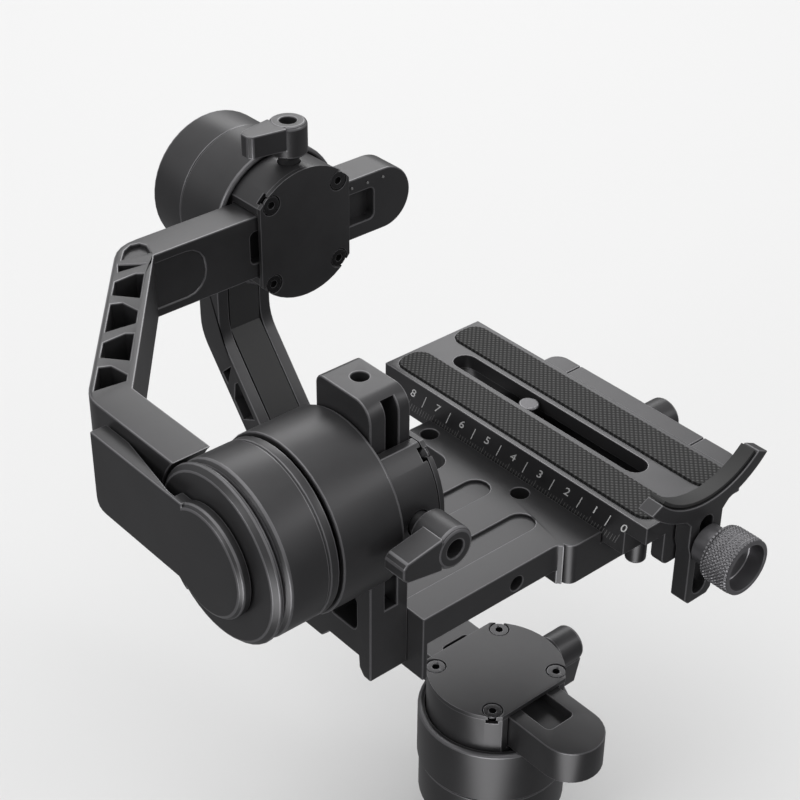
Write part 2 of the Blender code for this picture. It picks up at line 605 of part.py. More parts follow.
def make_roll_arm():
    """The flat C arm from the roll clamp's bar round to the tilt motor."""
    half = BAR_WIDTH / 2
    low, high = ROLL_HEIGHT - half, ROLL_HEIGHT + half
    back = ROLL_FACE_Y - BAR_SETBACK
    outline = truss_outline(ROLL_ARM_CORNER, -1, ROLL_ARM_LEG_INNER_X, TILT_Y, back,
                            ROLL_BAR_END_X - half, 1)
    arm = extruded("roll_arm", outline, low, high, "roll_arm", "black_anodised")
    front = ROLL_ARM_CORNER.y
    end_frame = axes_frame((ROLL_BAR_END_X - half, 0, ROLL_HEIGHT), (1, 0, 0), (0, 0, 1))
    boolean(arm, rod("roll_bar_round_end", end_frame, half, -back, -front, sides=48), "UNION")
    leg = block("roll_arm_leg_skirt", (ROLL_ARM_LEG_INNER_X - TRUSS_THICK, -8 * MM,
                                       ROLL_ARM_LEG_BOTTOM),
                (ROLL_ARM_LEG_INNER_X, 30 * MM, low + MM))
    boolean(arm, leg, "UNION")
    saddle = TILT_FRAME @ Matrix.Translation((0, 0, -60 * MM))
    boolean(arm, rod("roll_arm_saddle", saddle, TILT_RADIUS + GAP, 0, 80 * MM, sides=48))
    slot_frame = axes_frame((0, front, ROLL_HEIGHT), (1, 0, 0), (0, 0, 1))
    slot = extruded("roll_bar_slot", rounded_box((-17.8 * MM, -4.9 * MM), (26.3 * MM, 4.9 * MM),
                                                 1.6 * MM), -3.2 * MM, 3 * MM, frame=slot_frame)
    boolean(arm, slot)
    shallow = extruded("roll_bar_recess", rounded_box((-60 * MM, -6.8 * MM), (-33 * MM, 6.8 * MM),
                                                      6 * MM), -0.4 * MM, 0.3 * MM, frame=slot_frame)
    boolean(arm, shallow)
    top = Matrix.Translation((0, 0, high))
    cut_pockets(arm, "roll_arm", top, ROLL_ARM_CORNER, -1, 13 * MM)
    slant = Vector((-TRUSS_RUN, -TRUSS_RISE))
    out = Vector((-TRUSS_RISE, TRUSS_RUN))
    insert = [(-1.6, 1.2), (2.2, 8.2), (-2.6, 8.0), (-5.6, 6.6), (-6.6, 4.4), (-5.4, 2.6)]
    insert = [ROLL_ARM_CORNER + slant * along * MM + out * across * MM for along, across in insert]
    boolean(arm, extruded("roll_arm_corner_insert", [(p.x, p.y) for p in insert], -1.2 * MM, 5 * MM,
                          frame=top))


def make_outer_cover():
    """The long cover on the outer side of the roll arm, round over the tilt motor."""
    outer, inner = -104.0 * MM, ROLL_ARM_LEG_INNER_X - TRUSS_THICK - GAP
    low, high = 147.0 * MM, 168.7 * MM
    rear = 31.0 * MM
    nose = 13.9 * MM
    frame = axes_frame((0, 0, 0), (0, -1, 0), (0, 0, 1))
    centre = Vector((-TILT_Y, TILT_HEIGHT))
    outline = [(point.x, point.y) for point in rounded_corner(Vector((-rear, low)), Vector((0, 1)),
                                                             Vector((1, 0)), 3.5 * MM)]
    outline += arc(centre, nose, 225, 480, 34)
    outline += [(-rear, high)]
    cover = extruded("arm_outer_cover", outline, -inner, -outer, "roll_arm", "black_anodised", frame)
    seat = rod("cover_seat", TILT_FRAME, TILT_RADIUS + GAP, -SHELL_LENGTH - HOUSING_LENGTH - 3.7 * MM,
               -20 * MM, sides=48)
    boolean(cover, seat)
    wedge = [(-97.6 * MM, 32 * MM), (-103.1 * MM, 0.6 * MM), (-103.1 * MM, -1.5 * MM),
             (-90 * MM, -1.5 * MM), (-90 * MM, 32 * MM)]
    boolean(cover, extruded("cover_inner_taper", wedge, low - MM, high + MM))

    round_end = axes_frame((0, TILT_Y, TILT_HEIGHT), (0, -1, 0), (0, 0, 1))
    rim = turned("cover_rim_chamfer", round_end, [
        (nose + MM, -outer + MM), (nose + MM, -outer + MM - COVER_CHAMFER - 2 * MM),
        (nose - COVER_CHAMFER - MM, -outer + MM),
    ], "cutter", None)
    reach = 30 * MM
    boolean(rim, block("cover_rim_end", (-reach, -reach, -outer - reach),
                       (-nose / 2, reach, -outer + reach), frame=round_end))
    boolean(cover, rim)


def make_tilt_seam():
    """The fine turned line around the tilt motor's fixed housing."""
    radius = TILT_RADIUS - HOUSING_INSET
    middle, half = -SHELL_LENGTH - SEAM_GAP - 2.6 * MM, 0.14 * MM
    ring = turned("tilt_seam_line", TILT_FRAME, [
        (radius + MM, middle + half), (radius + MM, middle - half), (radius - 0.3 * MM, middle - half),
        (radius - 0.3 * MM, middle + half),
    ], "cutter", None)
    boolean(bpy.data.objects["tilt_stator_housing"], ring)


def make_tilt_cap():
    """The flat cap that closes the tilt motor's outer end."""
    rear = -SHELL_LENGTH - HOUSING_LENGTH - GAP
    radius = TILT_RADIUS - HOUSING_INSET
    turned("tilt_end_cap", TILT_FRAME, [
        (0, rear), (radius - 1.2 * MM, rear), (radius, rear - 0.8 * MM),
        (radius, rear - 1.6 * MM), (radius - 1.4 * MM, rear - 3.0 * MM),
        (0, rear - 3.0 * MM),
    ], "roll_arm", "black_anodised")


def make_bracket():
    """The upright bar through the tilt clamp, with its foot under the base plate."""
    left = TILT_FACE_X + BAR_SETBACK
    right = left + TILT_BAR_THICK
    front, back = BRACKET_FRONT_Y, TILT_Y + BAR_WIDTH / 2
    radius, small = BRACKET_CORNER_RADIUS, 2.4 * MM
    outline = [(front, BRACKET_BOTTOM), (-19.0 * MM, BRACKET_BOTTOM), (-17.3 * MM, 107.2 * MM),
               (-17.0 * MM, 110.7 * MM), (-5.9 * MM, 110.9 * MM), (-2.8 * MM, 107.7 * MM),
               (18 * MM, 107.7 * MM), (18 * MM, 119 * MM), (back + 6 * MM, 121.6 * MM),
               (back, 127.6 * MM)]
    outline += arc((back - small, BRACKET_TOP - small), small, 0, 90, 4)
    outline += arc((front + radius, BRACKET_TOP - radius), radius, 90, 180, 8)
    bracket = extruded("camera_bracket", outline, left, right, "bracket", "black_anodised",
                       SIDE_FRAME)
    slot_low, slot_high = -59.8 * MM, -56.2 * MM
    slot = block("bracket_front_slot", (slot_low, front - MM, 125.2 * MM),
                 (slot_high, front + 5.6 * MM, BRACKET_TOP - 1.2 * MM))
    boolean(bracket, slot)
    window = extruded("bracket_window", rounded_box((-16.4 * MM, 118 * MM), (-6.2 * MM, 128.5 * MM),
                                                    2 * MM), left - MM, left + 7 * MM,
                      frame=SIDE_FRAME)
    boolean(bracket, window)
    hole = Matrix.Translation((-57.9 * MM, -10.2 * MM, BRACKET_TOP))
    boolean(bracket, rod("bracket_top_hole", hole, 2.1 * MM, -9 * MM, 5 * MM, sides=24))


def make_base():
    """The stepped base plate with the channel that takes the dovetail plate."""
    outline = [
        (BASE_LEFT_X, BASE_FRONT_Y), (-9.6 * MM, BASE_FRONT_Y),
    ]
    outline += arc((-9.2 * MM, BASE_FRONT_Y - 2.4 * MM), 2.4 * MM, 90, 20, 4)
    outline += arc((-3.6 * MM, BASE_STEP_FRONT_Y + 2.8 * MM), 2.8 * MM, 190, 270, 5)
    outline += [(BASE_RIGHT_X, BASE_STEP_FRONT_Y), (BASE_RIGHT_X, BASE_BACK_Y),
                (BASE_STEP_X + 1.5 * MM, BASE_BACK_Y), (BASE_STEP_X, BASE_BACK_Y - 1.5 * MM)]
    outline += arc((BASE_STEP_X - 4 * MM, 20.6 * MM), 4 * MM, 0, -90, 5)
    outline += [(BASE_LEFT_X, 16.6 * MM)]
    base = extruded("base_plate", outline, BASE_STEP_UNDERSIDE, BASE_TOP, "bracket",
                    "black_anodised")
    under = block("base_underside_step", (BASE_LEFT_X - MM, -40 * MM, 100 * MM),
                  (-8.0 * MM, 40 * MM, BASE_UNDERSIDE))
    boolean(base, under)
    lug = block("base_front_lug", (BASE_LEFT_X, BASE_FRONT_Y, 102.8 * MM),
                (BASE_LEFT_X + 1.6 * MM, 14 * MM, BASE_UNDERSIDE + MM))
    boolean(base, lug, "UNION")
    channel = block("plate_channel", (PLATE_LEFT_X - GAP, -50 * MM, CHANNEL_FLOOR),
                    (PLATE_RIGHT_X + 20 * MM, 50 * MM, BASE_TOP + MM))
    boolean(base, channel)
    for number, (x, y) in enumerate(((0.0, 30.0 * MM), (0.1 * MM, -5.4 * MM)), 1):
        boolean(base, rod(f"base_hole_{number}", Matrix.Translation((x, y, BASE_TOP)), 2.5 * MM,
                          -7 * MM, 5 * MM, sides=24))
    front_hole = axes_frame((-21.7 * MM, BASE_FRONT_Y, 116.9 * MM), (1, 0, 0), (0, 0, 1))
    boolean(base, rod("base_front_hole", front_hole, 2.1 * MM, -9 * MM, 5 * MM, sides=24))
    top = Matrix.Translation((0, 0, BASE_TOP))
    pockets = (("front", (-62 * MM, -18.4 * MM), (-4.6 * MM, -10.8 * MM)),
               ("rear", (-62 * MM, -0.2 * MM), (-3.4 * MM, 7.4 * MM)))
    for name, low, high in pockets:
        boolean(base, extruded(f"base_{name}_pocket", rounded_slot(low, high), -0.9 * MM, 5 * MM,
                               frame=top))
    return base


def make_rail():
    """The fixed stops at the rail's two ends and the moving jaw that grips the plate between them."""
    left = PLATE_RIGHT_X + GAP
    low = CHANNEL_FLOOR + GAP
    radius = 4 * MM
    for name, split, end, turn in (("plate_front_stop", RAIL_SPLIT_Y, RAIL_FRONT_Y, 1),
                                   ("plate_rear_stop", RAIL_BACK_SPLIT_Y, RAIL_BACK_Y, -1)):
        stop = [(left, split), (left, end)]
        stop += arc((RAIL_OUTER_X - radius, end + turn * radius), radius, -90 * turn, 0, 6)
        stop += [(RAIL_OUTER_X, split)]
        extruded(name, stop, low, RAIL_TOP, "bracket", "plate_anodised")
    jaw = [(left, low), (BASE_RIGHT_X + GAP, low), (BASE_RIGHT_X + GAP, RAIL_BOTTOM),
           (RAIL_OUTER_X, RAIL_BOTTOM), (RAIL_OUTER_X, RAIL_TOP), (left, RAIL_TOP)]
    jaw_frame = axes_frame((0, 0, 0), (1, 0, 0), (0, 0, 1))
    extruded("plate_clamp_jaw", jaw, -RAIL_BACK_SPLIT_Y + GAP, -RAIL_SPLIT_Y - GAP, "plate_clamp",
             "plate_anodised", jaw_frame)
    frame = axes_frame((RAIL_OUTER_X, CLAMP_KNOB_Y, CLAMP_KNOB_Z), (0, 1, 0), (0, 0, 1))
    turned("plate_clamp_knob", frame, [
        (0, 9.4 * MM), (4.9 * MM, 9.4 * MM), (5.6 * MM, 8.7 * MM), (5.6 * MM, 1.0 * MM),
        (4.9 * MM, GAP), (0, GAP),
    ], "plate_clamp_knob", "black_anodised", steps=32)


def make_plate():
    """The dovetail quick-release plate, its two grip pads and the camera screw."""
    plate = block("quick_release_plate", (PLATE_LEFT_X, PLATE_FRONT_Y, PLATE_BOTTOM),
                  (PLATE_RIGHT_X, PLATE_BACK_Y, PLATE_TOP), "plate", "plate_anodised")
    boolean(plate, block("plate_front_relief", (0, PLATE_FRONT_Y - MM, PLATE_BOTTOM - MM),
                         (50 * MM, PLATE_KEEL_FRONT_Y, PLATE_TOP - PLATE_FLANGE)))
    slot = extruded("plate_slot", rounded_slot((PLATE_MIDDLE_X - 3.4 * MM, -27.6 * MM),
                                               (PLATE_MIDDLE_X + 3.4 * MM, 44.0 * MM)),
                    PLATE_BOTTOM - MM, PLATE_TOP + MM)
    boolean(plate, slot)
    counterbore = extruded("plate_counterbore", rounded_slot((PLATE_MIDDLE_X - 7.2 * MM, -31.4 * MM),
                                                             (PLATE_MIDDLE_X + 7.2 * MM, 47.8 * MM)),
                           PLATE_BOTTOM - MM, PLATE_TOP - 4.4 * MM)
    boolean(plate, counterbore)
    lug = extruded("plate_front_lug", rounded_box((SUPPORT_MIDDLE_X - 9.5 * MM, 115.6 * MM),
                                                  (SUPPORT_MIDDLE_X + 9.5 * MM, 128 * MM), 2.4 * MM),
                   -PLATE_FRONT_Y - 4.0 * MM, -PLATE_FRONT_Y, frame=FRONT_FRAME)
    boolean(plate, lug, "UNION")
    tapped = axes_frame((SUPPORT_MIDDLE_X, PLATE_FRONT_Y, SUPPORT_KNOB_HEIGHT), (1, 0, 0), (0, 0, 1))
    boolean(plate, rod("plate_tapped_hole", tapped, 2.2 * MM, -6 * MM, 3 * MM, sides=24))
    pads = (("left", PLATE_LEFT_X + 1.7 * MM, PLATE_MIDDLE_X - 5.2 * MM),
            ("right", PLATE_MIDDLE_X + 5.2 * MM, PLATE_RIGHT_X - 1.7 * MM))
    depth = 0.8 * MM
    for name, left, right in pads:
        low, high = (left, PLATE_FRONT_Y + 1.9 * MM), (right, PLATE_BACK_Y - 1.3 * MM)
        recess = extruded(f"{name}_pad_recess", rounded_box(low, high, 4.2 * MM, 6),
                          PLATE_TOP - depth, PLATE_TOP + MM)
        boolean(plate, recess)
        inner_low = (low[0] + GAP, low[1] + GAP)
        inner_high = (high[0] - GAP, high[1] - GAP)
        extruded(f"{name}_grip_pad", rounded_box(inner_low, inner_high, 3.9 * MM, 6),
                 PLATE_TOP - depth + GAP, PLATE_TOP + 0.5 * MM, "plate", "grip_rubber")
    screw_place = Matrix.Translation((PLATE_MIDDLE_X, 15 * MM, -SCREW_DROP))
    head_top = PLATE_TOP - 4.4 * MM - GAP
    turned("camera_screw", screw_place, [
        (0, PLATE_TOP + 3.5 * MM), (2.6 * MM, PLATE_TOP + 3.5 * MM), (3.0 * MM, PLATE_TOP + 3.1 * MM),
        (3.0 * MM, head_top), (6.6 * MM, head_top), (6.6 * MM, head_top - 3.0 * MM),
        (0, head_top - 3.0 * MM),
    ], "plate", "bright_steel", steps=24)
    pin = Matrix.Translation((14.0 * MM, -34.6 * MM, 0))
    turned("plate_stop_pin", pin, [
        (0, PLATE_BOTTOM - GAP), (2.8 * MM, PLATE_BOTTOM - GAP),
        (2.8 * MM, 111.6 * MM), (2.2 * MM, 111.0 * MM), (0, 111.0 * MM),
    ], "plate", "black_anodised", steps=24)


def make_lens_support():
    """The Y-shaped lens support, its rubber lining and its knurled knob."""
    middle = SUPPORT_MIDDLE_X
    frame = FRONT_FRAME
    cradle = (middle, CRADLE_HEIGHT)
    half, neck = 5.0 * MM, 6.0 * MM
    thick = CRADLE_RADIUS + CRADLE_THICK
    outline = [(middle - half, SUPPORT_BOTTOM + 1.5 * MM), (middle - half + 1.5 * MM, SUPPORT_BOTTOM),
               (middle + half - 1.5 * MM, SUPPORT_BOTTOM), (middle + half, SUPPORT_BOTTOM + 1.5 * MM),
               (middle + half, 120 * MM), (middle + neck, 123 * MM), (middle + neck, 129.5 * MM),
               (middle + neck + 2 * MM, 131.6 * MM)]
    outline += arc(cradle, thick, 296, 318, 6)
    outline += arc(cradle, CRADLE_RADIUS, 315.4, 224.6, 22)
    outline += arc(cradle, thick, 222, 244, 6)
    outline += [(middle - neck - 2 * MM, 131.6 * MM), (middle - neck, 129.5 * MM),
                (middle - neck, 123 * MM), (middle - half, 120 * MM)]
    support = extruded("lens_support", outline, -SUPPORT_BACK_Y, -SUPPORT_FRONT_Y, "lens_support",
                       "black_anodised", frame)
    slot = extruded("support_slot", rounded_slot((middle - 2.4 * MM, 105.4 * MM),
                                                 (middle + 2.4 * MM, 130.2 * MM)),
                    40 * MM, 60 * MM, frame=frame)
    boolean(support, slot)
    lining = (arc(cradle, CRADLE_RADIUS - GAP, 314, 226, 22)[::-1]
              + arc(cradle, CRADLE_RADIUS - 1.3 * MM, 314, 226, 22))
    extruded("lens_support_lining", lining, -SUPPORT_BACK_Y, -SUPPORT_FRONT_Y - 0.6 * MM,
             "lens_support", "grip_rubber", frame)
    knob_frame = axes_frame((middle, SUPPORT_FRONT_Y, SUPPORT_KNOB_HEIGHT), (1, 0, 0), (0, 0, 1))
    radius = SUPPORT_KNOB_RADIUS
    turned("lens_support_knob", knob_frame, [
        (0, 9.4 * MM), (radius - 1.7 * MM, 9.4 * MM), (radius - 1.5 * MM, 14.0 * MM),
        (radius - 0.5 * MM, 14.0 * MM), (radius, 13.5 * MM), (radius, 5.6 * MM),
        (radius - 0.5 * MM, 5.1 * MM), (5.4 * MM, 5.1 * MM), (5.4 * MM, GAP), (1.9 * MM, GAP),
        (1.9 * MM, -8.4 * MM), (0, -8.4 * MM),
    ], "lens_support_knob", "knob_metal", steps=48)


def main():
    make_pivots()
    make_pan_base()
    make_motor("pan", PAN_FRAME, PAN_RADIUS, "root", "pan")
    make_clamp("pan", PAN_FRAME, "pan")
    make_lever("pan_lock_lever", PAN_FRAME, "pan_lock_lever", 90, PAN_LEVER_REACH)
    make_pan_arm()
    make_motor("roll", ROLL_FRAME, ROLL_RADIUS, "pan_arm", "roll")
    make_clamp("roll", ROLL_FRAME, "roll")
    make_lever("roll_lock_lever", ROLL_FRAME, "roll_lock_lever", 180)
    make_roll_arm()
    make_outer_cover()
    make_motor("tilt", TILT_FRAME, TILT_RADIUS, "roll_arm", "tilt")
    make_tilt_seam()
    make_tilt_cap()
    make_clamp("tilt", TILT_FRAME, "tilt", TILT_BAR_THICK)
    make_lever("tilt_lock_lever", TILT_FRAME, "tilt_lock_lever", 90, middle=TILT_BAR_MIDDLE)
    make_bracket()
    make_base()
    make_rail()
    make_plate()
    make_lens_support()


main()
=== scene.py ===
import json
import math

import bmesh
import bpy
from mathutils import Matrix, Vector


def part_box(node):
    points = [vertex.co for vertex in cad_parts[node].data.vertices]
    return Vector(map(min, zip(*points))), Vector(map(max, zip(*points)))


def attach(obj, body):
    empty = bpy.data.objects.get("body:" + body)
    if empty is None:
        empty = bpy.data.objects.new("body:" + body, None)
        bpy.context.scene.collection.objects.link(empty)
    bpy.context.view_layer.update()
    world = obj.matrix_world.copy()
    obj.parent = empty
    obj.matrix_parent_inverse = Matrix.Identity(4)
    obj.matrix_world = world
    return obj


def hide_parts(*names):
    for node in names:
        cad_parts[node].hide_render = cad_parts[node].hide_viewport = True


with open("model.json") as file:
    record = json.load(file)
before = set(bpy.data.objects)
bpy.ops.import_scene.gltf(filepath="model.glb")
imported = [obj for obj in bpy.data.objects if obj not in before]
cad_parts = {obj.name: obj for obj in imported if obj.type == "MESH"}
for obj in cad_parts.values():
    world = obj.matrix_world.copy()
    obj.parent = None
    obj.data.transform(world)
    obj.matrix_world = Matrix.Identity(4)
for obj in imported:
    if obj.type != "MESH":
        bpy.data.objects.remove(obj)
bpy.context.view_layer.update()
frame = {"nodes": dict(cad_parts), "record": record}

scene = bpy.context.scene
MM = 0.001

# Camera: where it stands and how it is turned, in degrees.
CAMERA_PLACE = Vector((-0.2761, -0.2739, 0.4072))
CAMERA_AZIMUTH = -41.1165
CAMERA_ELEVATION = 33.736
CAMERA_ROLL = -0.5816
CAMERA_LENS = 82.31

FLOOR_LEVEL = -0.1 * MM
FLOOR_SHADE = 0.71
LOW_GLOW = Vector((-0.63, -0.55, -0.55))
LOW_GLOW_STRENGTH = 5.0
LOW_GLOW_START = 0.86

# Dome: its colour below the horizon and above it, and the heights on a scale of 0 to 1 where they meet.
DOME_LOW = (0.26, 0.26, 0.265, 1)
DOME_HIGH = (0.82, 0.82, 0.82, 1)
DOME_LOW_END = 0.49
DOME_HIGH_START = 0.66

# Metal's handling marks and its blasted grain: noise scales, and how far the marks shift colour and gloss.
MARKS_SCALE = 45.0
GRAIN_SCALE = 2600.0
GRAIN_DEPTH = 0.05 * MM
MARKS_CONTRAST = 0.14
GLOSS_BELOW = 0.05
GLOSS_ABOVE = 0.07
SMOOTH_ANGLE = math.radians(32)
FLAT_ANGLE = math.radians(1)
SEAM = 1e-6
# Roughness of the lighter edge material that paints a highlight on rounded edges.
HIGHLIGHT_EDGE_ROUGHNESS = 0.30

# Lamps: where each stands, how wide it is in metres and its power in watts. All face the aim point.
LAMP_AIM = Vector((0, 0, 0.12))
LAMPS = {
    "overhead": (Vector((-0.15, 0.25, 1.6)), 1.9, 8.0),
    "behind": (Vector((0.75, 0.9, 0.95)), 0.7, 4.0),
    "left": (Vector((-1.3, 0.1, 0.75)), 0.6, 3.0),
    "right_front": (Vector((0.7, -0.8, 0.85)), 0.4, 1.6),
}

# Finish of each material slot: colour, roughness, metallic, and the lighter colour of its rounded edges,
# which is a painted highlight.
METALS = {
    "black_anodised": (0.040, 0.36, 0.50, 0.13),
    "plate_anodised": (0.052, 0.34, 0.55, 0.16),
    "knob_metal": (0.17, 0.36, 0.80, 0.30),
    "screw_steel": (0.035, 0.26, 0.80, 0.16),
    "bright_steel": (0.09, 0.36, 1.00, 0.20),
    "magnet": (0.30, 0.35, 1.00, 0.40),
    "copper_winding": (0.30, 0.45, 0.90, 0.30),
    "cover_plastic": (0.018, 0.50, 0.00, 0.03),
}

# Edge rounding of each kind of part. The first name that a part holds gives its width.
EDGES = {
    "arm_outer_cover": 0.35 * MM, "roll_arm": 0.4 * MM,
    "pan_arm_cable_cover": 0.15 * MM, "pan_arm": 0.3 * MM,
    "camera_bracket": 0.4 * MM, "base_plate": 0.3 * MM, "quick_release_plate": 0.25 * MM,
    "plate_clamp_jaw": 0.35 * MM, "front_stop": 0.35 * MM, "rear_stop": 0.35 * MM,
    "lens_support_lining": 0.2 * MM, "lens_support": 0.3 * MM,
    "lock_lever": 0.4 * MM, "clamp_body": 0.2 * MM, "cover_plate": 0.12 * MM,
    "rotor_shell": 0.4 * MM, "stator_housing": 0.4 * MM, "tilt_end_cap": 0.3 * MM,
    "mount_collar": 0.4 * MM, "plate_clamp_knob": 0.3 * MM, "cover_screw": 0.12 * MM,
    "plate_stop_pin": 0.3 * MM, "camera_screw": 0.2 * MM,
}

# Parts that get a piece of their own.
REBUILT = ("lens_support_knob",)

# Grip pads.
GRIP_PITCH = 1.15 * MM

# Knurled knob.
KNURL_ROUND = 44
KNURL_DEPTH = 0.34 * MM
KNURL_LOW = 5.6 * MM
KNURL_HIGH = 13.5 * MM
KNURL_FADE = 0.5 * MM
KNURL_FLAT = 0.35
KNURL_ROWS = 22
KNURL_STEPS = 8
# The knob's profile in front of and behind its knurling, as radius and height in millimetres.
KNOB_CUP = [(0, 9.4), (6.0, 9.4), (6.2, 9.6), (6.45, 13.9), (6.6, 14.0), (7.3, 14.0), (7.7, 13.9)]
KNOB_COLLAR = [(7.5, 5.2), (5.6, 5.1), (5.4, 4.9), (5.4, 0.5), (5.1, 0.3), (0, 0.3)]

# Engraved scale on the plate's edge.
SCALE_TOP = 8
SCALE_STEP = 10 * MM
DIGIT_SIZE = 3.9 * MM
SCALE_START = 8.0 * MM
SLANT = 0.42
MARK_PROUD = 0.04 * MM
DIGIT_DROP = 4.2 * MM
LINE_DROP = 7.0 * MM
LINE_HEIGHT = 4.2 * MM
LINE_WIDTH = 0.26 * MM
RULE_DROP = 10.2 * MM
RULE_SHIFT = 1.4
RULE_WIDTH = 0.15 * MM
LONG_TICK = 3.4 * MM
SHORT_TICK = 2.4 * MM

# Sight dots by the end of the roll arm's bar.
DOT_DISTANCES = (10.3 * MM, 16.1 * MM, 21.9 * MM)
DOT_RISE = 7.1 * MM
DOT_RADIUS = 0.42 * MM
DOT_TIP_RADIUS = 0.36 * MM
DOT_DEPTH = 0.3 * MM


def node_of(material, kind, **values):
    """A new node in a material, with its named inputs set."""
    node = material.node_tree.nodes.new(kind)
    for name, value in values.items():
        node.inputs[name.replace("_", " ")].default_value = value
    return node


def grey(level, tint=0.0):
    return (level, level * (1 - tint / 2), level * (1 + tint), 1.0)


def make_metal(name, level, roughness, metallic, tint=0.03, grain=0.10):
    """Bead-blasted metal: fine grain in the surface, faint handling marks in its colour and gloss."""
    material = bpy.data.materials.new(name)
    material.use_nodes = True
    shader = material.node_tree.nodes["Principled BSDF"]
    shader.inputs["Metallic"].default_value = metallic
    shader.inputs["Specular IOR Level"].default_value = 0.5
    link = material.node_tree.links.new
    place = node_of(material, "ShaderNodeTexCoord").outputs["Object"]
    marks = node_of(material, "ShaderNodeTexNoise", Scale=MARKS_SCALE, Detail=5.0, Roughness=0.6)
    speckle = node_of(material, "ShaderNodeTexNoise", Scale=GRAIN_SCALE, Detail=2.0, Roughness=0.5)
    link(place, marks.inputs["Vector"])
    link(place, speckle.inputs["Vector"])

    colours = material.node_tree.nodes.new("ShaderNodeValToRGB")
    colours.color_ramp.elements[0].position = 0.3
    colours.color_ramp.elements[0].color = grey(level * (1 - MARKS_CONTRAST), tint)
    colours.color_ramp.elements[1].position = 0.7
    colours.color_ramp.elements[1].color = grey(level * (1 + MARKS_CONTRAST), tint)
    link(marks.outputs["Fac"], colours.inputs["Fac"])
    link(colours.outputs["Color"], shader.inputs["Base Color"])

    gloss = node_of(material, "ShaderNodeMapRange", To_Min=roughness - GLOSS_BELOW,
                    To_Max=roughness + GLOSS_ABOVE)
    link(marks.outputs["Fac"], gloss.inputs["Value"])
    link(gloss.outputs["Result"], shader.inputs["Roughness"])

    bump = node_of(material, "ShaderNodeBump", Strength=grain, Distance=GRAIN_DEPTH)
    link(speckle.outputs["Fac"], bump.inputs["Height"])
    link(bump.outputs["Normal"], shader.inputs["Normal"])
    return material


def make_grip():
    """Black rubber with a fine diagonal grid of raised squares, with painted shade darkening the grooves
    between them.
    """
    material = bpy.data.materials.new("grip_rubber_grid")
    material.use_nodes = True
    shader = material.node_tree.nodes["Principled BSDF"]
    link = material.node_tree.links.new
    place = node_of(material, "ShaderNodeTexCoord").outputs["Object"]
    waves = []
    for turn in (45, -45):
        mapping = material.node_tree.nodes.new("ShaderNodeMapping")
        mapping.inputs["Rotation"].default_value = (0, 0, math.radians(turn))
        wave = node_of(material, "ShaderNodeTexWave", Scale=math.pi / 10 / GRIP_PITCH)
        link(place, mapping.inputs["Vector"])
        link(mapping.outputs["Vector"], wave.inputs["Vector"])
        waves.append(wave.outputs["Fac"])
    grid = material.node_tree.nodes.new("ShaderNodeMath")
    grid.operation = "MULTIPLY"
    link(waves[0], grid.inputs[0])
    link(waves[1], grid.inputs[1])
    # Colour darker in the grooves and lighter on the squares' tops: painted shade in the grooves.
    colours = material.node_tree.nodes.new("ShaderNodeValToRGB")
    colours.color_ramp.elements[0].color = grey(0.008)
    colours.color_ramp.elements[1].position = 0.55
    colours.color_ramp.elements[1].color = grey(0.050)
    link(grid.outputs["Value"], colours.inputs["Fac"])
    link(colours.outputs["Color"], shader.inputs["Base Color"])
    gloss = node_of(material, "ShaderNodeMapRange", To_Min=0.85, To_Max=0.55)
    link(grid.outputs["Value"], gloss.inputs["Value"])
    link(gloss.outputs["Result"], shader.inputs["Roughness"])
    bump = node_of(material, "ShaderNodeBump", Strength=0.8, Distance=0.25 * MM)
    link(grid.outputs["Value"], bump.inputs["Height"])
    link(bump.outputs["Normal"], shader.inputs["Normal"])
    return material


def make_paint(name, level, roughness):
    """Flat paint or ink in an engraving, slightly uneven."""
    return make_metal(name, level, roughness, 0.0, tint=0.0, grain=0.25)


def make_paper():
    """Pale matt backdrop paper with a faint tooth."""
    material = bpy.data.materials.new("floor_paper")
    material.use_nodes = True
    shader = material.node_tree.nodes["Principled BSDF"]
    shader.inputs["Base Color"].default_value = grey(FLOOR_SHADE)
    shader.inputs["Roughness"].default_value = 0.95
    shader.inputs["Specular IOR Level"].default_value = 0.1
    place = node_of(material, "ShaderNodeTexCoord").outputs["Object"]
    tooth = node_of(material, "ShaderNodeTexNoise", Scale=900.0, Detail=2.0)
    bump = node_of(material, "ShaderNodeBump", Strength=0.05, Distance=0.05 * MM)
    link = material.node_tree.links.new
    link(place, tooth.inputs["Vector"])
    link(tooth.outputs["Fac"], bump.inputs["Height"])
    link(bump.outputs["Normal"], shader.inputs["Normal"])
    return material


bodies_of = {}
for body_name, members in frame["record"]["behaviour"]["bodies"].items():
    for member in members:
        bodies_of[member] = body_name
slot_of = {entry["node"]: entry["material_slot"] for entry in frame["record"]["subparts"]}

finishes = {name: make_metal(name + "_finish", *values[:3]) for name, values in METALS.items()}
# Lighter copies of each finish for the rounded edges: a painted highlight along every edge.
edge_highlight_finishes = {name: make_metal(name + "_edge_highlight", values[3], HIGHLIGHT_EDGE_ROUGHNESS, values[2])
                 for name, values in METALS.items()}
finishes["grip_rubber"] = make_grip()
edge_highlight_finishes["grip_rubber"] = finishes["grip_rubber"]
smooth_rubber = make_metal("smooth_rubber", 0.014, 0.55, 0.0, tint=0.0)
white_ink = make_paint("white_ink", 0.62, 0.55)
grey_ink = make_paint("grey_ink", 0.16, 0.6)


def settle(piece, body):
    """Give a finished piece its body."""
    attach(piece, body)
    return piece


def add_piece(name, mesh, body, materials):
    piece = bpy.data.objects.new(name, mesh)
    scene.collection.objects.link(piece)
    for material in materials:
        mesh.materials.append(material)
    return settle(piece, body)


def shade(mesh):
    """Smooth shading that stays crisp across real edges."""
    mesh.polygons.foreach_set("use_smooth", [True] * len(mesh.polygons))
    mesh.set_sharp_from_angle(angle=SMOOTH_ANGLE)


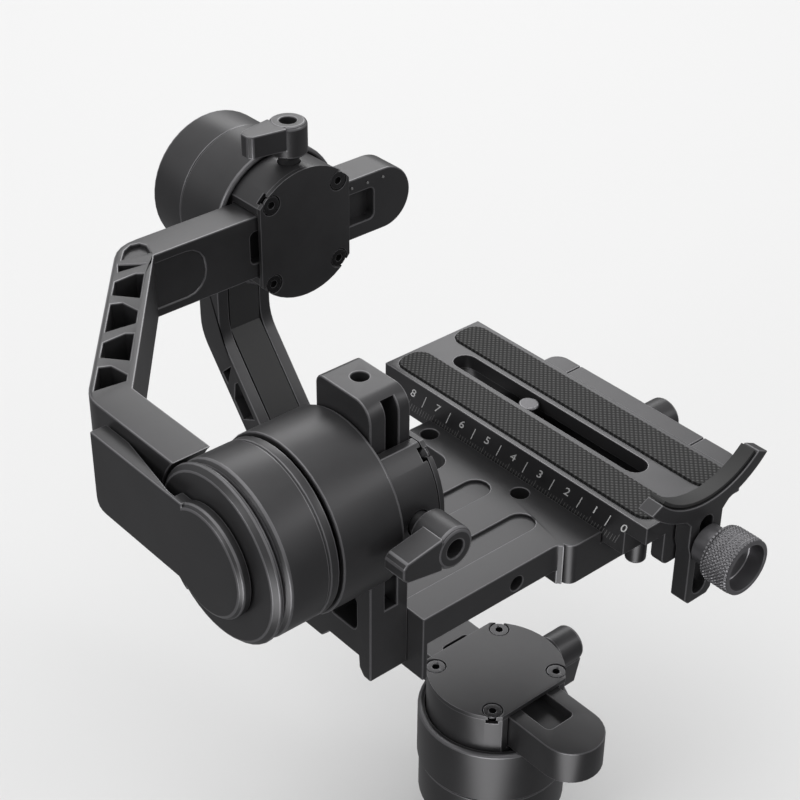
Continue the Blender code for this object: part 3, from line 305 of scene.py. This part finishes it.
def refined(node, width):
    """A copy of a part's solid with rounded edges that catch the light and wear a lighter material as a
    painted highlight, standing for the part.
    """
    source = frame["nodes"][node].data
    form = bmesh.new()
    vertices = [form.verts.new(vertex.co) for vertex in source.vertices]
    for polygon in source.polygons:
        form.faces.new([vertices[index] for index in polygon.vertices])
    bmesh.ops.remove_doubles(form, verts=form.verts, dist=SEAM)
    bmesh.ops.dissolve_limit(form, angle_limit=FLAT_ANGLE, verts=form.verts, edges=form.edges)
    bmesh.ops.triangulate(form, faces=form.faces, quad_method="BEAUTY", ngon_method="BEAUTY")
    bmesh.ops.recalc_face_normals(form, faces=form.faces)
    sharp = [edge for edge in form.edges if edge.is_convex and edge.calc_face_angle(0) > SMOOTH_ANGLE]
    # The rounded edges take material slot 1, the lighter edge material: a painted highlight.
    bmesh.ops.bevel(form, geom=sharp, offset=width, offset_type="OFFSET", segments=2, profile=0.5,
                    affect="EDGES", clamp_overlap=False, material=1, miter_outer="SHARP")
    mesh = bpy.data.meshes.new(node + "_refined")
    form.to_mesh(mesh)
    form.free()
    shade(mesh)
    slot_name = slot_of[node]
    surfaces = [finishes[slot_name], edge_highlight_finishes[slot_name]]
    if node == "lens_support_lining":
        surfaces = [smooth_rubber, smooth_rubber]
    piece = add_piece(node + "_refined", mesh, bodies_of[node], surfaces)
    even = piece.modifiers.new("even_faces", "WEIGHTED_NORMAL")
    even.mode = "FACE_AREA"
    even.weight = 100
    even.keep_sharp = True
    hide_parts(node)


def refine_parts():
    """Rounded copies of the parts seen from outside; a plain finish on the ones inside."""
    for node, obj in frame["nodes"].items():
        width = next((size for kind, size in EDGES.items() if kind in node), None)
        if width and node not in REBUILT:
            refined(node, width)
        elif node not in REBUILT:
            obj.data.materials.clear()
            obj.data.materials.append(finishes[slot_of[node]])


def make_knob():
    """The lens support's knob: knurled rim, plain collar behind and an open cup in front."""
    low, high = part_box("lens_support_knob")
    radius = (high.x - low.x) / 2
    support_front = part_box("lens_support")[0].y
    front = Matrix.Translation(((low.x + high.x) / 2, support_front, (low.z + high.z) / 2))
    front = front @ Matrix.Rotation(math.pi / 2, 4, "X")
    steps = KNURL_ROUND * KNURL_STEPS
    knurled = [(radius, KNURL_HIGH + (KNURL_LOW - KNURL_HIGH) * row / KNURL_ROWS)
               for row in range(KNURL_ROWS + 1)]
    profile = [(r * MM, z * MM) for r, z in KNOB_CUP] + knurled
    profile += [(r * MM, z * MM) for r, z in KNOB_COLLAR]
    form = bmesh.new()
    rings = []
    for distance, height in profile:
        if distance == 0:
            rings.append([form.verts.new((0, 0, height))])
            continue
        ring = []
        for step in range(steps):
            angle = 2 * math.pi * step / steps
            reach = distance
            if (distance, height) in knurled:
                turn = KNURL_ROUND * angle
                rise = height * KNURL_ROUND / radius
                cut = max(abs(math.sin((turn + rise) / 2)), abs(math.sin((turn - rise) / 2)))
                reach = distance - KNURL_DEPTH * max(0.0, cut - KNURL_FLAT) / (1 - KNURL_FLAT)
                edge = min(height - KNURL_LOW, KNURL_HIGH - height)
                reach -= KNURL_DEPTH * max(0.0, 1 - edge / KNURL_FADE)
            ring.append(form.verts.new((reach * math.cos(angle), reach * math.sin(angle), height)))
        rings.append(ring)
    for first, second in zip(rings, rings[1:]):
        for step in range(steps):
            after = (step + 1) % steps
            if len(first) == 1:
                form.faces.new((first[0], second[step], second[after]))
            elif len(second) == 1:
                form.faces.new((first[step], second[0], first[after]))
            else:
                form.faces.new((first[step], second[step], second[after], first[after]))
    bmesh.ops.recalc_face_normals(form, faces=form.faces)
    bmesh.ops.transform(form, matrix=front, verts=form.verts)
    mesh = bpy.data.meshes.new("knurled_knob")
    form.to_mesh(mesh)
    form.free()
    shade(mesh)
    knob = add_piece("knurled_knob", mesh, "lens_support_knob", [finishes["knob_metal"]])
    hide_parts("lens_support_knob")


def add_tick(form, place, height, width):
    """A slanted engraved line standing on a point of the plate's side."""
    made = bmesh.ops.create_cube(form, size=1)
    bmesh.ops.scale(form, vec=(MARK_PROUD, width, height), verts=made["verts"])
    for vertex in made["verts"]:
        vertex.co.y -= SLANT * vertex.co.z
    bmesh.ops.translate(form, vec=place + Vector((0, 0, height / 2)), verts=made["verts"])


def ticks_piece(name, form, ink):
    mesh = bpy.data.meshes.new(name)
    form.to_mesh(mesh)
    form.free()
    add_piece(name, mesh, "plate", [ink])


def make_scale():
    """Digits 8 to 0 along the plate's side, long half-way lines and a fine millimetre rule below."""
    low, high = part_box("quick_release_plate")
    side = low.x - MARK_PROUD / 2
    zero = low.y + SCALE_START
    lines, rule = bmesh.new(), bmesh.new()
    for number in range(SCALE_TOP + 1):
        y = zero + number * SCALE_STEP
        text = bpy.data.curves.new(f"scale_digit_{number}", "FONT")
        text.body = str(number)
        text.size = DIGIT_SIZE
        text.shear = SLANT
        text.align_x = "CENTER"
        text.align_y = "CENTER"
        text.extrude = MARK_PROUD
        digit = bpy.data.objects.new(f"scale_digit_{number}", text)
        digit.matrix_world = (Matrix.Translation((side, y, high.z - DIGIT_DROP))
                              @ Matrix.Rotation(-math.pi / 2, 4, "Z") @ Matrix.Rotation(math.pi / 2, 4, "X"))
        scene.collection.objects.link(digit)
        text.materials.append(white_ink)
        settle(digit, "plate")
        if number < SCALE_TOP:
            add_tick(lines, Vector((side, y + SCALE_STEP / 2, high.z - LINE_DROP)), LINE_HEIGHT,
                     LINE_WIDTH)
    for step in range(SCALE_TOP * 10 + 1):
        height = LONG_TICK if step % 10 == 0 else SHORT_TICK
        add_tick(rule, Vector((side, zero + (step + RULE_SHIFT) * MM, high.z - RULE_DROP)), height,
                 RULE_WIDTH)
    ticks_piece("scale_lines", lines, white_ink)
    ticks_piece("scale_rule", rule, grey_ink)


def make_arm_marks():
    """Sight dots on the front of the roll arm's bar, by its free end."""
    bar_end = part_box("roll_arm")[1].x
    bar_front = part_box("roll_cover_plate")[1].y
    clamp_low, clamp_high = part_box("roll_clamp_body")
    height = (clamp_low.z + clamp_high.z) / 2 + DOT_RISE
    form = bmesh.new()
    for distance in DOT_DISTANCES:
        place = Matrix.Translation((bar_end - distance, bar_front + DOT_DEPTH, height))
        bmesh.ops.create_cone(form, cap_ends=True, segments=20, radius1=DOT_RADIUS,
                              radius2=DOT_TIP_RADIUS, depth=DOT_DEPTH,
                              matrix=place @ Matrix.Rotation(math.pi / 2, 4, "X"))
    mesh = bpy.data.meshes.new("bar_sight_dots")
    form.to_mesh(mesh)
    form.free()
    add_piece("bar_sight_dots", mesh, "roll_arm", [grey_ink])


def facing(place, target):
    """The turn that points a lamp at a place from where it stands."""
    return (place - target).to_track_quat("Z", "Y").to_matrix().to_4x4()


def make_camera():
    a, e, r = (math.radians(v) for v in (CAMERA_AZIMUTH, CAMERA_ELEVATION, CAMERA_ROLL))
    right = Vector((math.cos(a), math.sin(a), 0))
    up = Vector((-math.sin(a) * math.sin(e), math.cos(a) * math.sin(e), math.cos(e)))
    back = Vector((math.sin(a) * math.cos(e), -math.cos(a) * math.cos(e), math.sin(e)))
    across = math.cos(r) * right - math.sin(r) * up
    upright = math.sin(r) * right + math.cos(r) * up
    camera = bpy.data.objects.new("camera", bpy.data.cameras.new("camera"))
    camera.data.lens = CAMERA_LENS
    camera.data.sensor_width = 36
    camera.matrix_world = (Matrix.Translation(CAMERA_PLACE)
                           @ Matrix((across, upright, back)).transposed().to_4x4())
    scene.collection.objects.link(camera)
    scene.camera = camera


def make_floor():
    """A wide pale floor that the camera sees but the dark metal doesn't mirror."""
    form = bmesh.new()
    bmesh.ops.create_grid(form, x_segments=1, y_segments=1, size=6)
    mesh = bpy.data.meshes.new("floor")
    form.to_mesh(mesh)
    form.free()
    floor = bpy.data.objects.new("floor", mesh)
    floor.location.z = min(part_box(node)[0].z for node in frame["nodes"]) + FLOOR_LEVEL
    scene.collection.objects.link(floor)
    mesh.materials.append(make_paper())
    floor.visible_glossy = False
    floor.visible_diffuse = False


def add_light(name, place, size, power):
    light = bpy.data.lights.new(name, "AREA")
    light.shape = "DISK"
    light.size = size
    light.energy = power
    lamp = bpy.data.objects.new(name, light)
    lamp.matrix_world = Matrix.Translation(place) @ facing(place, LAMP_AIM)
    scene.collection.objects.link(lamp)


def make_studio():
    """A pale dome above the horizon and a dark one below it, with soft lamps above, behind and left."""
    world = bpy.data.worlds.new("studio")
    scene.world = world
    world.use_nodes = True
    tree = world.node_tree
    background = tree.nodes["Background"]
    place = tree.nodes.new("ShaderNodeTexCoord")
    split = tree.nodes.new("ShaderNodeSeparateXYZ")
    ramp = tree.nodes.new("ShaderNodeValToRGB")
    ramp.color_ramp.elements[0].position = DOME_LOW_END
    ramp.color_ramp.elements[0].color = DOME_LOW
    ramp.color_ramp.elements[1].position = DOME_HIGH_START
    ramp.color_ramp.elements[1].color = DOME_HIGH
    spread = tree.nodes.new("ShaderNodeMapRange")
    spread.inputs["From Min"].default_value = -1
    towards = tree.nodes.new("ShaderNodeVectorMath")
    towards.operation = "DOT_PRODUCT"
    towards.inputs[1].default_value = LOW_GLOW.normalized()
    glow = tree.nodes.new("ShaderNodeMapRange")
    glow.interpolation_type = "SMOOTHSTEP"
    glow.inputs["From Min"].default_value = LOW_GLOW_START
    glow.inputs["To Max"].default_value = LOW_GLOW_STRENGTH
    total = tree.nodes.new("ShaderNodeMix")
    total.data_type = "RGBA"
    total.blend_type = "ADD"
    total.inputs["Factor"].default_value = 1.0
    link = tree.links.new
    link(place.outputs["Generated"], split.inputs["Vector"])
    link(split.outputs["Z"], spread.inputs["Value"])
    link(spread.outputs["Result"], ramp.inputs["Fac"])
    link(place.outputs["Generated"], towards.inputs[0])
    link(towards.outputs["Value"], glow.inputs["Value"])
    link(ramp.outputs["Color"], total.inputs[6])
    link(glow.outputs["Result"], total.inputs[7])
    link(total.outputs[2], background.inputs["Color"])
    for name, (stand, size, power) in LAMPS.items():
        add_light(name, stand, size, power)


make_camera()
make_floor()
make_studio()
refine_parts()
make_knob()
make_scale()
make_arm_marks()
scene.view_settings.view_transform = "Standard"
